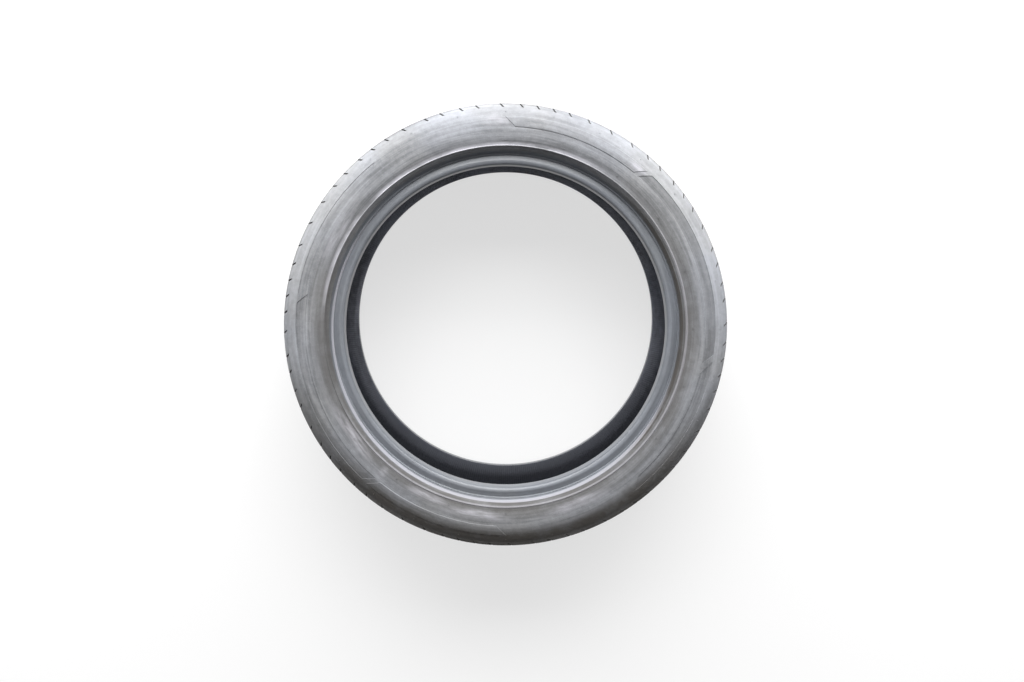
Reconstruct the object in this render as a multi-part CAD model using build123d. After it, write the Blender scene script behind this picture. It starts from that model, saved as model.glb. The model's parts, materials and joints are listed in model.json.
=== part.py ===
from build123d import *
import math
import os

# A low-profile passenger car tyre off its rim, one moulded piece of rubber lying on a sidewall.
# The spin axis is Z, the origin lies on it midway between the beads, and the marked sidewall faces up.
# Sizes are in millimetres and angles in degrees.

# Tread: two middle ribs and two shoulder ribs, parted by three grooves
tyre_diameter = 635.0           # over the middle ribs
tread_width = 180.0             # between the outer edges of the shoulder ribs
shoulder_drop = 3.5             # how far the shoulder ribs lie under the middle ones
groove_spacing = 46.0           # from the middle groove to the other two
groove_width = 10.0
groove_floor = 6.0              # flat floor of the two outer grooves
groove_depth = 6.5              # under the lower of its two ribs
middle_groove_width = 8.0
middle_groove_floor = 5.0

# Sidewalls, as rings from the shoulder down to the lip over the rim flange.
# A setback is how far a ring lies in from the flat band, which is the widest part.
section_width = 230.0           # over the flat bands
shoulder_diameter = 608.0
shoulder_setback = 8.0
upper_bend_diameter = 583.0
upper_bend_setback = 2.4
band_outer_diameter = 564.0
band_inner_diameter = 541.0
lip_diameter = 505.0
lip_setback = 5.2

# Beads
bore_diameter = 455.0           # over the toes, the tightest ring
bead_gap = 150.0                # open width between the two toes
bead_width = 21.5               # toe to flange face
toe_land = 4.0                  # straight part of the seat at the toe
seat_taper = 5.0                # slope of the seat from toe to heel
heel_chamfer = 5.5
flange_height = 15.6            # from the toe to the top of the flange face
flange_lean = 2.2               # how far the flange face leans in over its height
bead_height = 17.0              # from the toe to where the bead thins into the sidewall

# Walls
crown_wall = 17.0               # tread, belts and liner under the middle ribs
side_wall = 9.0                 # sidewall at the flat band
bead_wall = 14.6                # bead at the top of the flange face, along the axis
liner_width = 172.0             # straight part of the cavity under the crown
cavity_diameter = 544.0         # ring where the cavity is widest

# Main slots across the shoulders, one for every two pitches of the tread.
# Three mixed pitches spread the road noise.
slot_width = 2.4
slot_depth = 4.2                # at the edge of the tread
slot_length = 21.0              # from the edge of the tread in to where the floor runs out
pitch_angles = {"s": 4.1, "m": 5.0, "l": 6.1}
pitch_pattern = "lmsssmllmsmssmlsms"
pattern_repeats = 4
first_slot = 262.25             # clockwise from the +Y side, seen from above

half_width = section_width / 2
tread_edge = tread_width / 2
crown_radius = tyre_diameter / 2
shoulder_rib_radius = crown_radius - shoulder_drop
bore_radius = bore_diameter / 2
overrun = 5.0                   # how far cutting shapes reach past the surface


def upper_tread():
    """Corners of the tread above its middle plane, as (radius, height)."""
    floor_radius = shoulder_rib_radius - groove_depth
    return [
        (crown_radius - groove_depth, middle_groove_floor / 2),
        (crown_radius, middle_groove_width / 2),
        (crown_radius, groove_spacing - groove_width / 2),
        (floor_radius, groove_spacing - groove_floor / 2),
        (floor_radius, groove_spacing + groove_floor / 2),
        (shoulder_rib_radius, groove_spacing + groove_width / 2),
    ]


def sidewall():
    """Corners of the section from the edge of the tread down to the lip."""
    return [
        (shoulder_rib_radius, tread_edge),
        (shoulder_diameter / 2, half_width - shoulder_setback),
        (upper_bend_diameter / 2, half_width - upper_bend_setback),
        (band_outer_diameter / 2, half_width),
        (band_inner_diameter / 2, half_width),
        (lip_diameter / 2, half_width - lip_setback),
    ]


def bead():
    """Corners of the section from the lip round the bead to its inner side."""
    toe_z = bead_gap / 2
    flange_z = toe_z + bead_width
    flange_top = (bore_radius + flange_height, flange_z - flange_lean)
    land_end = toe_z + toe_land
    seat_end = flange_z - heel_chamfer
    heel_radius = bore_radius + (seat_end - land_end) * math.tan(math.radians(seat_taper))
    return [
        flange_top,
        (heel_radius + heel_chamfer, flange_z),
        (heel_radius, seat_end),
        (bore_radius, land_end),
        (bore_radius, toe_z),
        (bore_radius + bead_height, flange_top[1] - bead_wall),
    ]


def cavity():
    """Corners of the cavity from above the bead to the crown."""
    return [
        (cavity_diameter / 2, half_width - side_wall),
        (crown_radius - crown_wall, liner_width / 2),
    ]


def section():
    """Whole section in the X and Z plane, closed round the tread, both sidewalls and the cavity."""
    upper = upper_tread() + sidewall() + bead() + cavity()
    lower = [(radius, -height) for radius, height in reversed(upper)]
    return Plane.XZ * make_face(Polyline(*upper, *lower, close=True))


def slot():
    """One slot on the +X side of the upper shoulder, deepest where it leaves the tread."""
    start = tread_edge - slot_length
    end = half_width + overrun
    floor_end = shoulder_rib_radius - (end - start) * slot_depth / slot_length
    top = shoulder_rib_radius + overrun
    profile = Polyline((shoulder_rib_radius, start), (top, start), (top, end), (floor_end, end), close=True)
    turn = math.degrees(slot_width / shoulder_rib_radius)
    return Rot(0, 0, -turn / 2) * revolve(Plane.XZ * make_face(profile), Axis.Z, turn)


def slot_angles():
    """Angles of the slots round the tyre, one for every two pitches of the pattern."""
    pitches = [pitch_angles[pitch] for pitch in pitch_pattern * pattern_repeats]
    stretch = 360 / sum(pitches)
    angle = first_slot
    for first, second in zip(pitches[::2], pitches[1::2]):
        yield angle
        angle += (first + second) * stretch


upper_slot = slot()
lower_slot = mirror(upper_slot, Plane.XY)
slots = []
for angle in slot_angles():
    slots.append(Rot(0, 0, 90 - angle) * upper_slot)
    slots.append(Rot(0, 0, 90 - angle) * lower_slot)
tyre = revolve(section(), Axis.Z) - slots

os.makedirs("parts", exist_ok=True)
export_step(tyre, "parts/tyre.step")
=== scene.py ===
import json
import math

import bmesh
import bpy
import numpy as np
from mathutils import Euler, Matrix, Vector


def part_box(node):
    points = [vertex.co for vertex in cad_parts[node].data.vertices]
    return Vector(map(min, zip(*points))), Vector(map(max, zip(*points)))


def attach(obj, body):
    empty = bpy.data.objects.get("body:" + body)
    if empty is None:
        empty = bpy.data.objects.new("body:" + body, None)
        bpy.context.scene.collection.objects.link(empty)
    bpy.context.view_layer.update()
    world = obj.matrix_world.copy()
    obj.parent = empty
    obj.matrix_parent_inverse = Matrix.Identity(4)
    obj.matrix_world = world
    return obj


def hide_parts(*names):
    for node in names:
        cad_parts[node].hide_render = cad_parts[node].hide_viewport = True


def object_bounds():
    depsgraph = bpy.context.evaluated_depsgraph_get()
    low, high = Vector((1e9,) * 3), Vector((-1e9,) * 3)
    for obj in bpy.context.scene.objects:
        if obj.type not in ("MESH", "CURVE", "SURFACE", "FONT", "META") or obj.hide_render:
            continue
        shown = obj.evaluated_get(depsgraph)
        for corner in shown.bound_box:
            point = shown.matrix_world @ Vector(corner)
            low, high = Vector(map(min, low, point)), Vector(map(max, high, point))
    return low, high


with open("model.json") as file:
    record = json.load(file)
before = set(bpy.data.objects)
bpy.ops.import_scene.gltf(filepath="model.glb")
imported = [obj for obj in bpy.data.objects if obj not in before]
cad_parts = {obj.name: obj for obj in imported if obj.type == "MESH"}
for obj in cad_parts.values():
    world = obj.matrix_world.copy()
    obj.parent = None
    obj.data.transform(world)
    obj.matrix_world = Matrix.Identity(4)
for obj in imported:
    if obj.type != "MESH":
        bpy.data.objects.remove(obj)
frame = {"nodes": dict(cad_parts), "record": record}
cad_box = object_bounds()


# Rubber finishes
# One black rubber mix all over, greyed by dust and handling, with painted light and shade in its colour too.
# # It is palest on the sidewalls, worn dark on the ribs, rubbed smooth by the rim on the beads, and ribbed by
# the
# # curing bladder on the liner.
mm = 0.001
crown = max(vertex.co.xy.length for vertex in frame["nodes"]["tyre"].data.vertices) / mm
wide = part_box("tyre")[1].z / mm
bead_seat = next(mount for mount in frame["record"]["mounts"] if mount["name"] == "bead_seat")
toe = bead_seat["dims"]["r_mm"]
bladder_ribs = 476
grain_depth = 0.4
rubber_ior = 1.52
cool_tint = (0.97, 0.99, 1.04, 1)
dirt_brown = (0.053, 0.049, 0.0455, 1)
trod_rubber = (0.019, 0.0188, 0.0186, 1)
trod_dust = (0.068, 0.0665, 0.065, 1)
smear_grey = (0.4, 0.395, 0.43, 1)
# Pale smears and painted highlights on the upper sidewall, as a clock angle from +Y, a radius, and half the
# length
# # and the width. Those at 158° and 189° paint a soft highlight along the sidewall's crest, those at 357.5°
# and 39.4° glare.
smear_height = wide - 2.0
pale_smears = [
    (158.0, 267.0, 46.0, 6.5),
    (189.0, 266.0, 46.0, 6.5),
    (205.0, 261.5, 30.0, 5.5),
    (220.6, 268.0, 6.0, 9.0),
    (235.6, 262.0, 48.0, 6.5),
    (301.0, 268.0, 42.0, 6.5),
    (357.5, 288.0, 18.0, 6.0),
    (39.4, 288.0, 14.0, 6.0),
]


def node(tree, kind, inputs=None, **settings):
    """Adds a node with these settings; an input is a value or the socket that feeds it."""
    made = tree.nodes.new(kind)
    for name, value in settings.items():
        setattr(made, name, value)
    for key, value in (inputs or {}).items():
        if isinstance(value, bpy.types.NodeSocket):
            tree.links.new(value, made.inputs[key])
        else:
            made.inputs[key].default_value = value
    return made


def math_node(tree, operation, first, *others):
    """The operation on one value, or over several from left to right."""
    if not others:
        return node(tree, "ShaderNodeMath", {0: first}, operation=operation).outputs[0]
    for other in others:
        first = node(tree, "ShaderNodeMath", {0: first, 1: other}, operation=operation).outputs[0]
    return first


def noise(tree, vector, scale, detail, roughness=0.55):
    inputs = {"Vector": vector, "Scale": scale, "Detail": detail, "Roughness": roughness}
    return node(tree, "ShaderNodeTexNoise", inputs).outputs[0]


def remap(tree, value, low, high, to_low=0.0, to_high=1.0):
    inputs = {"Value": value, "From Min": low, "From Max": high, "To Min": to_low, "To Max": to_high}
    return node(tree, "ShaderNodeMapRange", inputs, interpolation_type="SMOOTHSTEP").outputs[0]


def colour_mix(tree, factor, first, second, blend="MIX"):
    made = node(tree, "ShaderNodeMix", data_type="RGBA", blend_type=blend)
    sockets = {socket.identifier: socket for socket in made.inputs}
    for key, value in (("Factor_Float", factor), ("A_Color", first), ("B_Color", second)):
        if isinstance(value, bpy.types.NodeSocket):
            tree.links.new(value, sockets[key])
        else:
            sockets[key].default_value = value
    return next(socket for socket in made.outputs if socket.identifier == "Result_Color")


def new_tree(name, kind, inputs, outputs):
    """An empty node tree with these sockets, and its input and output nodes."""
    tree = bpy.data.node_groups.new(name, kind)
    for label, socket in inputs.items():
        tree.interface.new_socket(label, in_out="INPUT", socket_type="NodeSocket" + socket)
    for label, socket in outputs.items():
        tree.interface.new_socket(label, in_out="OUTPUT", socket_type="NodeSocket" + socket)
    return tree, tree.nodes.new("NodeGroupInput"), tree.nodes.new("NodeGroupOutput")


def dust_group():
    """Dust, brown dirt, worn ribs and pale smears, and painted light and shade, laid by the radius and the
    side of the tyre.

    A finish sets how much it gets of each; upward and rightward are the sides of the picture, +Y and +X.
    """
    shares = ("Amount", "Rings", "Dirt", "Wiped", "Smears", "Ribs", "Worn", "Settled")
    tree, given, result = new_tree(
        "rubber_dust",
        "ShaderNodeTree",
        {"Rubber": "Color", "Dust": "Color"} | dict.fromkeys(shares, "Float"),
        {"Color": "Color", "Mask": "Float", "Height": "Float"},
    )
    place = node(tree, "ShaderNodeTexCoord").outputs["Object"]
    split = node(tree, "ShaderNodeSeparateXYZ", {"Vector": place})
    flat = node(tree, "ShaderNodeCombineXYZ", {"X": split.outputs["X"], "Y": split.outputs["Y"]}).outputs[0]
    radius = node(tree, "ShaderNodeVectorMath", {0: flat}, operation="LENGTH").outputs["Value"]
    heading = node(tree, "ShaderNodeVectorMath", {0: flat}, operation="NORMALIZE").outputs["Vector"]
    sides = node(tree, "ShaderNodeSeparateXYZ", {"Vector": heading})
    rightward = sides.outputs["X"]
    upward = sides.outputs["Y"]
    level = math_node(tree, "ADD", radius, split.outputs["Z"])

    def toward(x, y):
        """How far a point lies to this side of the axle, whatever its radius."""
        inputs = {0: heading, 1: (x, y, 0)}
        return node(tree, "ShaderNodeVectorMath", inputs, operation="DOT_PRODUCT").outputs["Value"]

    def ring(distance, start, full, fade, end):
        """A ring about the axle that comes in from start to full and goes out from fade to end."""
        inner = remap(tree, distance, start * mm, full * mm)
        return math_node(tree, "MULTIPLY", inner, remap(tree, distance, end * mm, fade * mm))

    def round_noise(spread, fineness, detail):
        """Noise drawn out round the tyre; spread counts along the circle and fineness across it."""
        axes = {
            "X": math_node(tree, "MULTIPLY", rightward, spread),
            "Y": math_node(tree, "MULTIPLY", upward, spread),
            "Z": math_node(tree, "MULTIPLY", level, fineness),
        }
        return noise(tree, node(tree, "ShaderNodeCombineXYZ", axes).outputs[0], 1.0, detail)

    # Dust lies in clouds, wipes, rings and specks, and shows the bladder's ribs; the upper shoulder is
    # painted paler
    #     # as painted light, most above and at the sides
    clouds = remap(tree, noise(tree, place, 14.0, 6.0, 0.62), 0.3, 0.72)
    wipes = remap(tree, round_noise(2.2, 110.0, 4.0), 0.38, 0.66)
    rings = remap(tree, round_noise(1.6, 420.0, 3.0), 0.36, 0.7)
    mottle = remap(tree, noise(tree, place, 130.0, 4.0, 0.6), 0.3, 0.7)
    specks = remap(tree, noise(tree, place, 620.0, 2.0), 0.56, 0.72)
    angle = math_node(tree, "ARCTAN2", split.outputs["Y"], split.outputs["X"])
    waves = math_node(tree, "SINE", math_node(tree, "MULTIPLY", angle, bladder_ribs))
    ribs = math_node(tree, "MULTIPLY", waves, given.outputs["Ribs"])
    # Painted light: the upper shoulder is painted paler above and at the sides, through the same share that
    # wears the ribs dark
    upper_shoulder = math_node(
        tree,
        "MULTIPLY",
        remap(tree, radius, (crown - 30.5) * mm, (crown - 17.5) * mm),
        remap(tree, upward, -0.45, 0.05),
        remap(tree, math_node(tree, "ABSOLUTE", rightward), 0.3, 1.0, 0.25, 0.65),
    )
    layers = [
        (rings, given.outputs["Rings"]),
        (clouds, 0.16),
        (wipes, 0.55),
        (mottle, 0.26),
        (specks, 0.26),
        (ribs, 0.07),
        (upper_shoulder, given.outputs["Worn"]),
    ]
    dusty = 0.25
    for layer, share in layers:
        dusty = math_node(tree, "ADD", dusty, math_node(tree, "MULTIPLY", layer, share))
    # Less dust toward the right (+X), by the finish's share
    wiped = math_node(tree, "MULTIPLY", remap(tree, rightward, -0.1, 0.4), given.outputs["Wiped"])
    # Painted light and shade: the liner is painted paler above (+Y) and darker below
    settled = math_node(tree, "MULTIPLY", remap(tree, upward, -0.8, 0.8, -0.9, 1.8), given.outputs["Settled"])
    amount = math_node(
        tree,
        "MULTIPLY",
        given.outputs["Amount"],
        math_node(tree, "SUBTRACT", 1.0, wiped),
        math_node(tree, "ADD", settled, 1.0),
    )
    mask = math_node(tree, "MINIMUM", math_node(tree, "MULTIPLY", dusty, amount), 1.0)
    tint = remap(tree, noise(tree, place, 7.0, 2.0), 0.38, 0.62)
    dust = colour_mix(tree, tint, given.outputs["Dust"], cool_tint, "MULTIPLY")
    colour = colour_mix(tree, mask, given.outputs["Rubber"], dust)

    # Brown on the lower shoulder is partly dirt and partly painted shade of the lower side, a brown band runs
    # round
    #     # the lip, weaker on the upper side, and painted shade lies in the hollow under the lip on the right
    lower_shoulder = math_node(
        tree,
        "MULTIPLY",
        remap(tree, radius, (crown - 45.5) * mm, (crown - 17.5) * mm),
        remap(tree, upward, -0.15, -0.85, 0.0, 1.4),
    )
    round_lip = math_node(
        tree,
        "MULTIPLY",
        ring(radius, toe + 18.5, toe + 21.5, toe + 26.5, toe + 56.5),
        remap(tree, upward, 0.0, 0.8, 1.0, 0.4),
    )
    # Painted shade in the hollow under the lip, on the right side
    under_lip = math_node(
        tree,
        "MULTIPLY",
        ring(radius, toe + 17.0, toe + 18.0, toe + 21.3, toe + 22.5),
        remap(tree, rightward, 0.4, 0.9, 0.0, 1.5),
    )
    dirt = math_node(
        tree,
        "MULTIPLY",
        math_node(tree, "ADD", lower_shoulder, math_node(tree, "MAXIMUM", round_lip, under_lip)),
        given.outputs["Dirt"],
        remap(tree, noise(tree, place, 30.0, 5.0, 0.65), 0.2, 0.65, 0.6, 1.0),
    )
    colour = colour_mix(tree, dirt, colour, dirt_brown)

    # The road wears the ribs dark between the shoulders
    height = math_node(tree, "ABSOLUTE", split.outputs["Z"])
    between = remap(tree, height, (wide - 18.0) * mm, (wide - 33.0) * mm)
    worn = math_node(tree, "MULTIPLY", between, given.outputs["Worn"])
    colour = colour_mix(tree, worn, colour, colour_mix(tree, mask, trod_rubber, trod_dust))

    # Hands leave pale smears, some of which are painted highlights; a painted highlight lies on the bead's
    # bend on
    #     # the lower left, and painted highlights run along the lip's edge above, below and on the right
    smear = 0.0
    for clock, distance, length, width in pale_smears:
        turn = math.radians(-clock)
        centre = Vector((-distance * math.sin(turn), distance * math.cos(turn), smear_height))
        inputs = {
            "Vector": place,
            "Location": centre * mm,
            "Rotation": (0, 0, turn),
            "Scale": Vector((length, width, smear_height)) * mm,
        }
        local = node(tree, "ShaderNodeMapping", inputs, vector_type="TEXTURE").outputs["Vector"]
        away = node(tree, "ShaderNodeVectorMath", {0: local}, operation="LENGTH").outputs["Value"]
        smear = math_node(tree, "MAXIMUM", smear, remap(tree, away, 1.5, 0.2))
    smear = math_node(tree, "MULTIPLY", smear, remap(tree, round_noise(9.0, 190.0, 5.0), 0.3, 0.68, 0.1, 1.0))
    # Painted highlight on the bead's bend on the lower left, on a radius shifted 2.5 mm with the side
    slipped = math_node(tree, "ADD", radius, math_node(tree, "MULTIPLY", upward, 2.5 * mm))
    rim_mark = math_node(
        tree,
        "MULTIPLY",
        ring(slipped, toe + 14.9, toe + 15.7, toe + 17.7, toe + 18.5),
        remap(tree, toward(-0.6, -1.0), -0.4, 0.3),
    )
    # Painted highlight along the lip's edge on the upper side
    upper_lip = math_node(
        tree,
        "MULTIPLY",
        ring(radius, toe + 26.3, toe + 26.8, toe + 28.5, toe + 33.3),
        remap(tree, toward(-0.45, 1.0), 0.35, 0.9),
        remap(tree, round_noise(5.0, 40.0, 3.0), 0.3, 0.65, 0.2, 1.5),
    )
    # Painted highlight along the lip's edge on the lower side and on the right
    down_or_right = math_node(
        tree,
        "MAXIMUM",
        remap(tree, upward, -0.3, -0.7, 0.0, 0.5),
        remap(tree, rightward, 0.6, 0.95, 0.0, 0.6),
    )
    lower_lip = math_node(
        tree, "MULTIPLY", ring(radius, toe + 24.1, toe + 25.1, toe + 26.7, toe + 28.9), down_or_right
    )
    smear = math_node(tree, "MAXIMUM", smear, rim_mark, upper_lip, lower_lip)
    smear = math_node(tree, "MULTIPLY", smear, given.outputs["Smears"])
    # Mixes in the pale smears and the painted highlights in one grey
    colour = colour_mix(tree, smear, colour, smear_grey)

    grain = noise(tree, place, 900.0, 4.0, 0.65)
    relief = math_node(tree, "ADD", grain, ribs, math_node(tree, "MULTIPLY", mottle, 0.8))
    for label, socket in (("Color", colour), ("Mask", mask), ("Height", relief)):
        tree.links.new(socket, result.inputs[label])
    return tree


def rubber(name, dark, dust, roughness, bump, gloss, **shares):
    """Rubber that goes from dark to the dust's colour, and over its range of roughness, where dust and
    painted light lie.
    """
    material = bpy.data.materials.new(name)
    material.use_nodes = True
    tree = material.node_tree
    shader = tree.nodes["Principled BSDF"]
    inputs = {"Rubber": (*dark, 1), "Dust": (*dust, 1)} | shares
    dusty = node(tree, "ShaderNodeGroup", inputs, node_tree=rubber_dust)
    tree.links.new(dusty.outputs["Color"], shader.inputs["Base Color"])
    rough = remap(tree, dusty.outputs["Mask"], 0.0, 1.0, *roughness)
    tree.links.new(rough, shader.inputs["Roughness"])
    inputs = {"Height": dusty.outputs["Height"], "Strength": bump, "Distance": grain_depth * mm}
    tree.links.new(node(tree, "ShaderNodeBump", inputs).outputs["Normal"], shader.inputs["Normal"])
    shader.inputs["IOR"].default_value = rubber_ior
    shader.inputs["Specular IOR Level"].default_value = gloss
    return material


rubber_dust = dust_group()
finishes = {
    "tread": rubber(
        "tread_rubber",
        dark=(0.062, 0.064, 0.068),
        dust=(0.272, 0.276, 0.284),
        roughness=(0.5, 0.85),
        bump=0.5,
        gloss=0.25,
        Amount=0.6,
        Rings=0.3,
        Dirt=0.8,
        Worn=1.0,
    ),
    "sidewall": rubber(
        "sidewall_rubber",
        dark=(0.062, 0.064, 0.068),
        dust=(0.272, 0.276, 0.284),
        roughness=(0.45, 0.85),
        bump=0.45,
        gloss=0.2,
        Amount=0.6,
        Rings=0.35,
        Dirt=0.8,
        Smears=0.5,
        Worn=1.0,
    ),
    "bead": rubber(
        "bead_rubber",
        dark=(0.077, 0.083, 0.093),
        dust=(0.193, 0.203, 0.219),
        roughness=(0.3, 0.46),
        bump=0.12,
        gloss=0.4,
        Amount=0.4,
        Rings=0.4,
        Dirt=0.75,
        Smears=0.5,
    ),
    "liner": rubber(
        "liner_rubber",
        dark=(0.057, 0.06, 0.071),
        dust=(0.27, 0.28, 0.316),
        roughness=(0.4, 0.7),
        bump=0.35,
        gloss=0.3,
        Amount=0.5,
        Rings=0.1,
        Ribs=1.0,
        Settled=1.0,
    ),
    "groove": rubber(
        "groove_rubber",
        dark=(0.022, 0.022, 0.022),
        dust=(0.16, 0.156, 0.15),
        roughness=(0.6, 0.9),
        bump=0.4,
        gloss=0.2,
        Amount=0.55,
        Rings=0.1,
        Dirt=0.3,
    ),
    "panel": rubber(
        "panel_rubber",
        dark=(0.056, 0.0575, 0.061),
        dust=(0.258, 0.261, 0.268),
        roughness=(0.5, 0.85),
        bump=0.5,
        gloss=0.2,
        Amount=0.62,
        Rings=0.3,
        Dirt=0.7,
        Wiped=0.25,
    ),
}
finish_names = list(finishes)


# Casing
# The body of the tyre: rubber over plies and belts, cured in one piece in a steel mould. Its section is
# turned once round the axle: ribs and grooves, sidewalls, lips over the rim flange, beads, and the liner.
columns = 360
land = bead_seat["dims"]["length_mm"] / 2
rib = crown - 3.5
shoulder = wide - 25.0
groove_floor = crown - 10.0
liner_wall = crown - 17.0
side_band = wide - 0.8
# Corners of the upper half as (radius, height, rounding), from the middle of the tread round to the liner.
section = {
    "tread": [
        (crown - 6.5, 0.0, 0.0),
        (crown - 6.5, 2.5, 1.0),
        (crown, 4.0, 0.8),
        (crown, 41.0, 0.8),
        (groove_floor, 43.0, 1.2),
        (groove_floor, 49.0, 1.2),
        (rib, 51.0, 0.8),
    ],
    "sidewall": [
        (rib, shoulder, 7.0),
        (crown - 13.5, wide - 8.0, 20.0),
        (crown - 31.0, side_band, 40.0),
        (crown - 52.0, side_band, 30.0),
        (toe + 27.6, wide - 4.2, 0.4),
        (toe + 26.9, wide - 3.5, 0.4),
        (toe + 26.0, wide - 3.8, 0.4),
        (toe + 25.0, wide - 5.2, 0.6),
    ],
    "bead": [
        (toe + 19.6, wide - 10.8, 6.0),
        (toe + 16.6, wide - 18.6, 0.5),
        (toe + 15.7, wide - 18.0, 0.4),
        (toe + 15.0, wide - 18.6, 0.4),
        (toe + 14.8, wide - 21.4, 0.6),
        (toe + 1.3, wide - 15.8, 5.5),
        (toe, land, 10.0),
    ],
    "liner": [
        (toe, land - 4.0, 1.0),
        (toe + 17.0, land + 0.7, 20.0),
        (crown - 45.5, wide - 9.0, 10.0),
        (liner_wall, land + 7.0, 22.0),
        (liner_wall, 0.0, 0.0),
    ],
}
# Largest turn, in degrees, between two facets of an arc.
arc_facets = {"tread": 12, "sidewall": 7, "bead": 12, "liner": 15}
small_rounding = 2
small_facet = 45


def rounded(corners):
    """Outline through the corners with an arc at each, as a list of (point, finish)."""
    outline = [(np.array(corners[0][:2]), corners[0][3])]
    for before, corner, after in zip(corners, corners[1:], corners[2:]):
        here = np.array(corner[:2])
        size, finish = corner[2:]
        into = here - before[:2]
        into /= np.linalg.norm(into)
        out = after[:2] - here
        out /= np.linalg.norm(out)
        turn = math.atan2(into[0] * out[1] - into[1] * out[0], into @ out)
        start = here - into * size * math.tan(abs(turn) / 2)
        side = np.array([-into[1], into[0]]) * math.copysign(1, turn)
        facet = math.radians(arc_facets[finish] if size > small_rounding else small_facet)
        steps = max(1, math.ceil(abs(turn) / facet))
        for step in range(steps + 1):
            angle = abs(turn) * step / steps
            point = start + size * (math.sin(angle) * into + (1 - math.cos(angle)) * side)
            outline.append((point, finish))
    outline.append((np.array(corners[-1][:2]), corners[-1][3]))
    return outline


# A row of faces has the finish of its first point, so in the mirrored half it comes from the next point.
corners = [(*corner, finish) for finish, part in section.items() for corner in part]
upper = rounded(corners)
lower = [(point * (1, -1), before[1]) for before, (point, _) in zip(upper[-3::-1], upper[-2:0:-1])]
outline = upper + lower


def casing_mesh():
    """The section turned round the axle, with the number of its finish on every face."""
    vertices = []
    for point, _ in outline:
        for column in range(columns):
            angle = math.tau * column / columns
            vertices.append(Vector((point[0] * math.cos(angle), point[0] * math.sin(angle), point[1])) * mm)
    faces = []
    face_finish = []
    rows = len(outline)
    for row in range(rows):
        here = row * columns
        following = (row + 1) % rows * columns
        for column in range(columns):
            beside = (column + 1) % columns
            faces.append((here + column, here + beside, following + beside, following + column))
            face_finish.append(finish_names.index(outline[row][1]))
    mesh = bpy.data.meshes.new("casing")
    mesh.from_pydata(vertices, [], faces)
    mesh.attributes.new("finish", "INT", "FACE").data.foreach_set("value", face_finish)
    return mesh


casing = bpy.data.objects.new("casing", casing_mesh())
bpy.context.collection.objects.link(casing)


# Sidewall panels
# Low fields of the mould's sidewall plates, the same twice round: one raised, two sunk.
# They are left bare. Their ends lean, and their edges have the draft that lets the mould come off.
panel_relief = 0.8
panel_overlap = 1.5
panel_rows = 7
draft = 0.7
half_turn = math.pi
both_sides = [(0, 0, 0), (0, 0, half_turn), (half_turn, 0, 0), (half_turn, 0, half_turn)]
sidewall_line = sorted(tuple(point) for point, finish in upper if finish == "sidewall")
helpers = []


def sidewall_height(radius):
    return np.interp(radius, [point[0] for point in sidewall_line], [point[1] for point in sidewall_line])


def helper_object(name, mesh):
    """An object that only feeds a node tree and is removed at the end."""
    made = bpy.data.objects.new(name, mesh)
    bpy.context.collection.objects.link(made)
    made.hide_render = True
    helpers.append(made)
    return made


def panel_mesh(name, start, end, lean, inner, outer, low, high, low_inset, high_inset):
    """A closed plate between two offsets from the sidewall; angles run clockwise from +Y, seen from above."""
    steps = max(4, round(abs(end - start)))
    middle = (inner + outer) / 2
    vertices = []
    for offset, inset in ((low, low_inset), (high, high_inset)):
        for row in range(panel_rows):
            radius = inner + inset + (outer - inner - 2 * inset) * row / (panel_rows - 1)
            height = sidewall_height(radius) + offset
            side = math.degrees(inset / radius)
            shift = lean * (radius - middle) / (outer - inner)
            first = start + side - shift
            last = end - side + shift
            for step in range(steps + 1):
                angle = math.radians(90 - first - (last - first) * step / steps)
                vertices.append(Vector((radius * math.cos(angle), radius * math.sin(angle), height)) * mm)

    def index(level, row, step):
        return (level * panel_rows + row) * (steps + 1) + step

    def face(*corners):
        return tuple(index(*corner) for corner in corners)

    faces = []
    for level in (0, 1):
        for row in range(panel_rows - 1):
            for step in range(steps):
                corners = [(row, step), (row, step + 1), (row + 1, step + 1), (row + 1, step)]
                faces.append(face(*((level, *corner) for corner in corners)))
    for row in (0, panel_rows - 1):
        for step in range(steps):
            faces.append(face((0, row, step), (0, row, step + 1), (1, row, step + 1), (1, row, step)))
    for step in (0, steps):
        for row in range(panel_rows - 1):
            faces.append(face((0, row, step), (0, row + 1, step), (1, row + 1, step), (1, row, step)))
    mesh = bpy.data.meshes.new(name)
    mesh.from_pydata(vertices, [], faces)
    shape = bmesh.new()
    shape.from_mesh(mesh)
    bmesh.ops.recalc_face_normals(shape, faces=shape.faces)
    shape.to_mesh(mesh)
    shape.free()
    return mesh


def places_object(name, turns):
    """Points at the origin, each with the turn that a copy placed there is given."""
    mesh = bpy.data.meshes.new(name)
    mesh.from_pydata([(0, 0, 0)] * len(turns), [], [])
    attribute = mesh.attributes.new("turn", "FLOAT_VECTOR", "POINT")
    attribute.data.foreach_set("vector", [value for turn in turns for value in turn])
    return helper_object(name, mesh)


def placed_copies(tree, shape, places):
    """Nodes that set a copy of the shape at every place and make the copies one mesh."""
    points = node(tree, "GeometryNodeObjectInfo", {"Object": places})
    turn = node(tree, "GeometryNodeInputNamedAttribute", {"Name": "turn"}, data_type="FLOAT_VECTOR")
    rotation = node(tree, "FunctionNodeEulerToRotation", {"Euler": turn.outputs["Attribute"]})
    copies = node(
        tree,
        "GeometryNodeInstanceOnPoints",
        {"Points": points.outputs["Geometry"], "Instance": shape, "Rotation": rotation.outputs["Rotation"]},
    )
    real = node(tree, "GeometryNodeRealizeInstances", {"Geometry": copies.outputs["Instances"]})
    return real.outputs["Geometry"]


def marked(tree, geometry, finish):
    """Notes the number of their finish on the faces."""
    inputs = {"Geometry": geometry, "Name": "finish", "Value": finish}
    mark = node(tree, "GeometryNodeStoreNamedAttribute", inputs, data_type="INT", domain="FACE")
    return mark.outputs["Geometry"]


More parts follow.
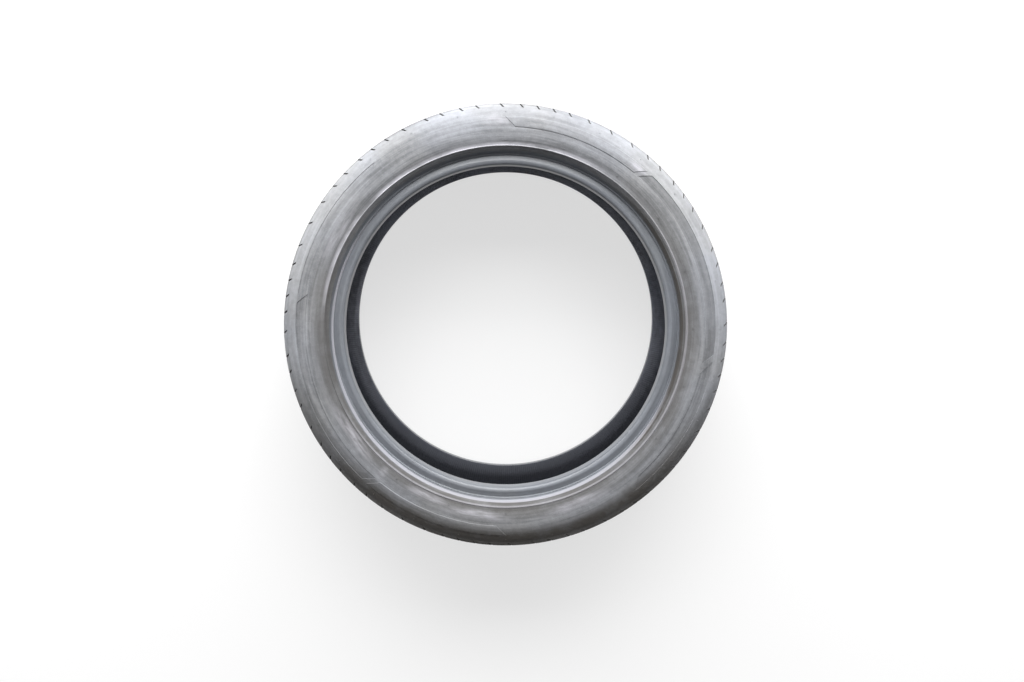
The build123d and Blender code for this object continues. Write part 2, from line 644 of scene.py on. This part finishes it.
def joined(tree, operation, base, shape):
    """Adds the shape to the base, or cuts it out."""
    boolean = node(tree, "GeometryNodeMeshBoolean", operation=operation, solver="MANIFOLD")
    tree.links.new(base, boolean.inputs["Mesh 1" if operation == "DIFFERENCE" else "Mesh 2"])
    tree.links.new(shape, boolean.inputs["Mesh 2"])
    return boolean.outputs["Mesh"]


def panel_tree(name, operation):
    """Adds panels to the rubber or sinks them into it at their places."""
    tree, given, result = new_tree(
        name,
        "GeometryNodeTree",
        {"Rubber": "Geometry", "Panel": "Object", "Places": "Object", "Finish": "Int"},
        {"Rubber": "Geometry"},
    )
    shape = node(tree, "GeometryNodeObjectInfo", {"Object": given.outputs["Panel"]})
    copies = placed_copies(tree, shape.outputs["Geometry"], given.outputs["Places"])
    finished = marked(tree, copies, given.outputs["Finish"])
    tree.links.new(joined(tree, operation, given.outputs["Rubber"], finished), result.inputs["Rubber"])
    return tree


def add_tree(tree, **inputs):
    """Puts the tree on the casing with these inputs, by the names of its sockets."""
    modifier = casing.modifiers.new(tree.name, "NODES")
    modifier.node_group = tree
    for item in tree.interface.items_tree:
        label = item.name.replace(" ", "_")
        if item.in_out == "INPUT" and label in inputs:
            modifier[item.identifier] = inputs[label]


panel_places = places_object("panel_places", both_sides)
raise_panels = panel_tree("raised_panels", "UNION")
sink_panels = panel_tree("sunk_panels", "DIFFERENCE")
# Each panel as its clock angles, lean, inner and outer radius, tree and finish.
panels = {
    "raised_panel": (1.2, 40.6, 3.0, 279.5, 294.5, raise_panels, "sidewall"),
    "long_panel": (42.2, 98.6, -3.0, 279.5, 294.0, sink_panels, "panel"),
    "short_panel": (101.0, 140.0, 4.0, 279.5, 294.0, sink_panels, "sidewall"),
}
for name, (start, end, lean, inner, outer, tree, finish) in panels.items():
    if tree is raise_panels:
        offsets = (-panel_overlap, panel_relief, -draft, draft)
    else:
        offsets = (-panel_relief, panel_overlap, draft, -draft)
    panel = helper_object(name, panel_mesh(name, start, end, lean, inner, outer, *offsets))
    add_tree(tree, Panel=panel, Places=panel_places, Finish=finish_names.index(finish))


# Slots and sipes
# Slots run out over both shoulders, and thin blade cuts cross the ribs, all moulded in. Their spacing mixes
# three pitches, so that the tyre doesn't hum on one note.
pitch_angles = {"s": 4.1, "m": 5.0, "l": 6.1}
pitch_pattern = "lmsssmllmsmssmlsms" * 4
first_slot = 262.25
slot_width = 2.4
slot_length = 21.0
slot_fall = 4.2
slot_slant = math.radians(24)
slot_block = Vector((10.0, slot_width, 60.0)) * mm
sipe_depth = 4.0
sipe_width = 0.8


def pitch_turns(shift=0.0):
    """Turns of every pitch about the axle; shift moves them on by that share of a pitch."""
    pitches = [pitch_angles[pitch] for pitch in pitch_pattern]
    stretch = 360 / sum(pitches)
    angle = first_slot
    for pitch in pitches:
        yield (0, 0, math.radians(90 - angle - shift * pitch * stretch))
        angle += pitch * stretch


def cut_tree():
    """Cuts a block out of the rubber at every place, and its twin on the other half of the tread."""
    tree, given, result = new_tree(
        "tread_cuts",
        "GeometryNodeTree",
        {
            "Rubber": "Geometry",
            "Places": "Object",
            "Size": "Vector",
            "Centre": "Vector",
            "Slope": "Float",
            "Slant": "Float",
            "Finish": "Int",
        },
        {"Rubber": "Geometry"},
    )
    block = node(tree, "GeometryNodeMeshCube", {"Size": given.outputs["Size"]}).outputs["Mesh"]
    tilt = node(tree, "ShaderNodeCombineXYZ", {"X": given.outputs["Slant"], "Y": given.outputs["Slope"]})
    inputs = {"Geometry": block, "Translation": given.outputs["Centre"], "Rotation": tilt.outputs["Vector"]}
    set_in = node(tree, "GeometryNodeTransform", inputs).outputs["Geometry"]
    twin = node(tree, "GeometryNodeTransform", {"Geometry": set_in, "Rotation": (half_turn, 0, 0)})
    pair = node(tree, "GeometryNodeJoinGeometry", {"Geometry": set_in})
    tree.links.new(twin.outputs["Geometry"], pair.inputs["Geometry"])
    copies = placed_copies(tree, pair.outputs["Geometry"], given.outputs["Places"])
    finished = marked(tree, copies, given.outputs["Finish"])
    tree.links.new(joined(tree, "DIFFERENCE", given.outputs["Rubber"], finished), result.inputs["Rubber"])
    return tree


tread_cuts = cut_tree()
slot_places = places_object("slot_places", list(pitch_turns()))
between_places = places_object("between_places", list(pitch_turns(0.5)))
slot_slope = -math.atan(slot_fall / slot_length)
slot_turn = Euler((slot_slant, slot_slope, 0)).to_matrix()
along = slot_turn @ Vector((0, 0, 1))
outward = slot_turn @ Vector((1, 0, 0))
slot_start = Vector((rib, 0, shoulder)) * mm - along * (slot_length * mm / along.z)
slot_start.x = rib * mm
add_tree(
    tread_cuts,
    Places=slot_places,
    Size=slot_block,
    Centre=slot_start + along * slot_block.z / 2 + outward * slot_block.x / 2,
    Slope=slot_slope,
    Slant=slot_slant,
    Finish=finish_names.index("groove"),
)
# Sipes on the shoulder ribs and on both edges of the middle ribs: places, radius, height, length and slant.
sipes = [
    (slot_places, rib, 58.0, 18.0, 0.0),
    (between_places, crown, 35.0, 17.0, 24.0),
    (slot_places, crown, 8.0, 13.0, 24.0),
]
for places, surface, height, length, slant in sipes:
    add_tree(
        tread_cuts,
        Places=places,
        Size=Vector((2 * sipe_depth, sipe_width, length)) * mm,
        Centre=Vector((surface, 0, height)) * mm,
        Slope=0.0,
        Slant=math.radians(slant),
        Finish=finish_names.index("groove"),
    )


# Vent nubs
# Short stubs of rubber where the mould lets the air out, in two rings on each sidewall.
# Most of each stub has torn off, so each has its own share of the usual length.
nub_sides = 8
nub_radius = 0.7
nub_length = 2.4
shortest_nub = 0.5
longest_nub = 1.4
# Each ring as its count of nubs, radius and seed.
nub_rings = [(20, 262.0, 3), (28, 300.5, 5)]


def nub_tree():
    tree, given, result = new_tree(
        "vent_nubs",
        "GeometryNodeTree",
        {
            "Rubber": "Geometry",
            "Count": "Int",
            "Ring Radius": "Float",
            "Ring Height": "Float",
            "Nub Radius": "Float",
            "Nub Length": "Float",
            "Seed": "Int",
            "Finish": "Int",
        },
        {"Rubber": "Geometry"},
    )
    inputs = {"Vertices": given.outputs["Count"], "Radius": given.outputs["Ring Radius"]}
    ring = node(tree, "GeometryNodeMeshCircle", inputs).outputs["Mesh"]
    lift = node(tree, "ShaderNodeCombineXYZ", {"Z": given.outputs["Ring Height"]}).outputs["Vector"]
    raised = node(tree, "GeometryNodeTransform", {"Geometry": ring, "Translation": lift}).outputs["Geometry"]
    inputs = {
        "Vertices": nub_sides,
        "Radius": given.outputs["Nub Radius"],
        "Depth": given.outputs["Nub Length"],
    }
    nub = node(tree, "GeometryNodeMeshCylinder", inputs).outputs["Mesh"]
    length = node(tree, "FunctionNodeRandomValue", {"Seed": given.outputs["Seed"]}, data_type="FLOAT")
    length.inputs[2].default_value = shortest_nub
    length.inputs[3].default_value = longest_nub
    scale = node(tree, "ShaderNodeCombineXYZ", {"X": 1.0, "Y": 1.0, "Z": length.outputs[1]}).outputs["Vector"]
    inputs = {"Points": raised, "Instance": nub, "Scale": scale}
    nubs = node(tree, "GeometryNodeInstanceOnPoints", inputs).outputs["Instances"]
    flipped = node(tree, "GeometryNodeTransform", {"Geometry": nubs, "Rotation": (half_turn, 0, 0)})
    both = node(tree, "GeometryNodeJoinGeometry", {"Geometry": nubs})
    tree.links.new(flipped.outputs["Geometry"], both.inputs["Geometry"])
    real = node(tree, "GeometryNodeRealizeInstances", {"Geometry": both.outputs["Geometry"]})
    finished = marked(tree, real.outputs["Geometry"], given.outputs["Finish"])
    tree.links.new(joined(tree, "UNION", given.outputs["Rubber"], finished), result.inputs["Rubber"])
    return tree


vent_nubs = nub_tree()
for count, radius, seed in nub_rings:
    add_tree(
        vent_nubs,
        Count=count,
        Ring_Radius=radius * mm,
        Ring_Height=float(sidewall_height(radius)) * mm,
        Nub_Radius=nub_radius * mm,
        Nub_Length=nub_length * mm,
        Seed=seed,
        Finish=finish_names.index("sidewall"),
    )


# Whole tyre
# Casing, panels, cuts and nubs are one piece of rubber, as they come out of the mould.
# Every face has the number of its finish from the casing, or from the shape that was added or cut out there.
smooth_angle = math.radians(32)


def finish_tree():
    tree, given, result = new_tree(
        "rubber_finishes",
        "GeometryNodeTree",
        {"Rubber": "Geometry"} | dict.fromkeys(finish_names, "Material"),
        {"Rubber": "Geometry"},
    )
    number = node(tree, "GeometryNodeInputNamedAttribute", {"Name": "finish"}, data_type="INT")
    real = node(tree, "GeometryNodeRealizeInstances", {"Geometry": given.outputs["Rubber"]})
    geometry = real.outputs["Geometry"]
    for index, name in enumerate(finish_names):
        inputs = {2: number.outputs["Attribute"], 3: index}
        same = node(tree, "FunctionNodeCompare", inputs, data_type="INT", operation="EQUAL")
        inputs = {"Geometry": geometry, "Selection": same.outputs["Result"], "Material": given.outputs[name]}
        geometry = node(tree, "GeometryNodeSetMaterial", inputs).outputs["Geometry"]
    tree.links.new(geometry, result.inputs["Rubber"])
    return tree


add_tree(finish_tree(), **finishes)
graph = bpy.context.evaluated_depsgraph_get()
rubber_mesh = bpy.data.meshes.new_from_object(casing.evaluated_get(graph))
casing.modifiers.clear()
for helper in (casing, *helpers):
    bpy.data.objects.remove(helper)
# The first slot is the casing's empty one.
rubber_mesh.materials.pop(index=0)
rubber_mesh.shade_smooth()
rubber_mesh.set_sharp_from_angle(angle=smooth_angle)
tyre = bpy.data.objects.new("tyre_rubber", rubber_mesh)
bpy.context.collection.objects.link(tyre)
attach(tyre, "root")
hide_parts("tyre")


# Floor and light
# A pale studio floor under the lower sidewall, two broad soft lamps beyond the upper edge of the picture,
# a weak one overhead, and a sky that is brighter on the lamps' side.
floor_half = 40.0
floor_pale = (0.85, 0.85, 0.85, 1)
floor_dim = (0.06, 0.06, 0.06, 1)
floor_glow = (0.97, 0.97, 0.97, 1)
glow_share = 0.66
sky_seen = 0.95


def seen_rays(tree):
    """1 for the rays that see floor and sky as a background, directly, mirrored or through clear things."""
    rays = node(tree, "ShaderNodeLightPath").outputs
    return math_node(
        tree, "MAXIMUM", rays["Is Camera Ray"], rays["Is Glossy Ray"], rays["Is Transmission Ray"]
    )


def floor_material():
    """Pale to the camera; for the light thrown back on the tyre it is dark on the picture's lower side."""
    material = bpy.data.materials.new("pale_floor")
    material.use_nodes = True
    tree = material.node_tree
    shader = tree.nodes["Principled BSDF"]
    shader.inputs["Roughness"].default_value = 0.9
    shader.inputs["Specular IOR Level"].default_value = 0.1
    place = node(tree, "ShaderNodeTexCoord").outputs["Object"]
    across = node(tree, "ShaderNodeSeparateXYZ", {"Vector": place}).outputs["Y"]
    bounce = colour_mix(tree, remap(tree, across, -0.3, 0.1), floor_dim, floor_pale)
    seen = seen_rays(tree)
    tree.links.new(colour_mix(tree, seen, bounce, floor_pale), shader.inputs["Base Color"])
    glow = node(tree, "ShaderNodeEmission", {"Color": floor_glow, "Strength": 1.0})
    share = math_node(tree, "MULTIPLY", seen, glow_share)
    mixed = node(tree, "ShaderNodeMixShader", {0: share, 1: shader.outputs["BSDF"], 2: glow.outputs[0]})
    tree.links.new(mixed.outputs[0], tree.nodes["Material Output"].inputs["Surface"])
    return material


ground = bpy.data.meshes.new("floor")
floor_sides = [(-1, -1), (1, -1), (1, 1), (-1, 1)]
floor_corners = [(x * floor_half, y * floor_half, cad_box[0].z) for x, y in floor_sides]
ground.from_pydata(floor_corners, [], [(0, 1, 2, 3)])
ground.materials.append(floor_material())
studio_floor = bpy.data.objects.new("floor", ground)
bpy.context.collection.objects.link(studio_floor)


def lamp(name, place, aim, size, watts):
    light = bpy.data.lights.new(name, "AREA")
    light.shape = "RECTANGLE"
    light.size, light.size_y = size
    light.energy = watts
    made = bpy.data.objects.new(name, light)
    made.location = place
    made.rotation_euler = (Vector(aim) - Vector(place)).to_track_quat("-Z", "Y").to_euler()
    bpy.context.collection.objects.link(made)


lamp("window", place=(0.0, 1.5, 0.85), aim=(0, -0.1, 0.1), size=(4.4, 0.8), watts=96.0)
lamp("skylight", place=(0.0, 1.7, 2.0), aim=(0, 0, 0), size=(2.4, 1.0), watts=65.0)
lamp("front", place=(0.0, -0.1, 2.7), aim=(0, 0, 0), size=(1.0, 1.0), watts=6.0)
world = bpy.data.worlds.new("studio")
world.use_nodes = True
bpy.context.scene.world = world
sky_tree = world.node_tree
sky_place = node(sky_tree, "ShaderNodeTexCoord").outputs["Generated"]
sky_way = node(sky_tree, "ShaderNodeSeparateXYZ", {"Vector": sky_place}).outputs
lamp_side = remap(sky_tree, sky_way["Y"], -0.5, 0.2, 0.05, 0.6)
low_down = remap(sky_tree, sky_way["Z"], 0.0, 0.8, 2.0, 0.7)
sky_light = math_node(sky_tree, "MULTIPLY", lamp_side, low_down)
strength = node(sky_tree, "ShaderNodeMix", {0: seen_rays(sky_tree), 2: sky_light, 3: sky_seen})
sky_tree.links.new(strength.outputs[0], sky_tree.nodes["Background"].inputs["Strength"])
sky_tree.nodes["Background"].inputs["Color"].default_value = (1, 1, 1, 1)


# Camera
# It looks down on the lying tyre nearly along the axle, as the photograph looks at the standing one.
# The pixel where the axle vanishes and the one where the tyre's middle lies set its turn and its place.
image_width, image_height = 1024, 682
lens_pixels = 1230.0
sensor_width = 36.0
distance = 1.8316
axle_vanishes = (505.7, 242.0)
tyre_middle = (505.7, 323.4)


def sight(pixel):
    """The camera's line of sight through a pixel, one metre deep."""
    across = pixel[0] - image_width / 2
    up = image_height / 2 - pixel[1]
    return Vector((across / lens_pixels, up / lens_pixels, -1))


camera_data = bpy.data.cameras.new("camera")
camera_data.sensor_width = sensor_width
camera_data.lens = lens_pixels / image_width * sensor_width
camera = bpy.data.objects.new("camera", camera_data)
camera_turn = sight(axle_vanishes).normalized().rotation_difference(Vector((0, 0, -1)))
camera.location = -(camera_turn @ (sight(tyre_middle) * distance))
camera.rotation_euler = camera_turn.to_euler()
bpy.context.collection.objects.link(camera)
bpy.context.scene.camera = camera
bpy.context.scene.view_settings.view_transform = "Standard"
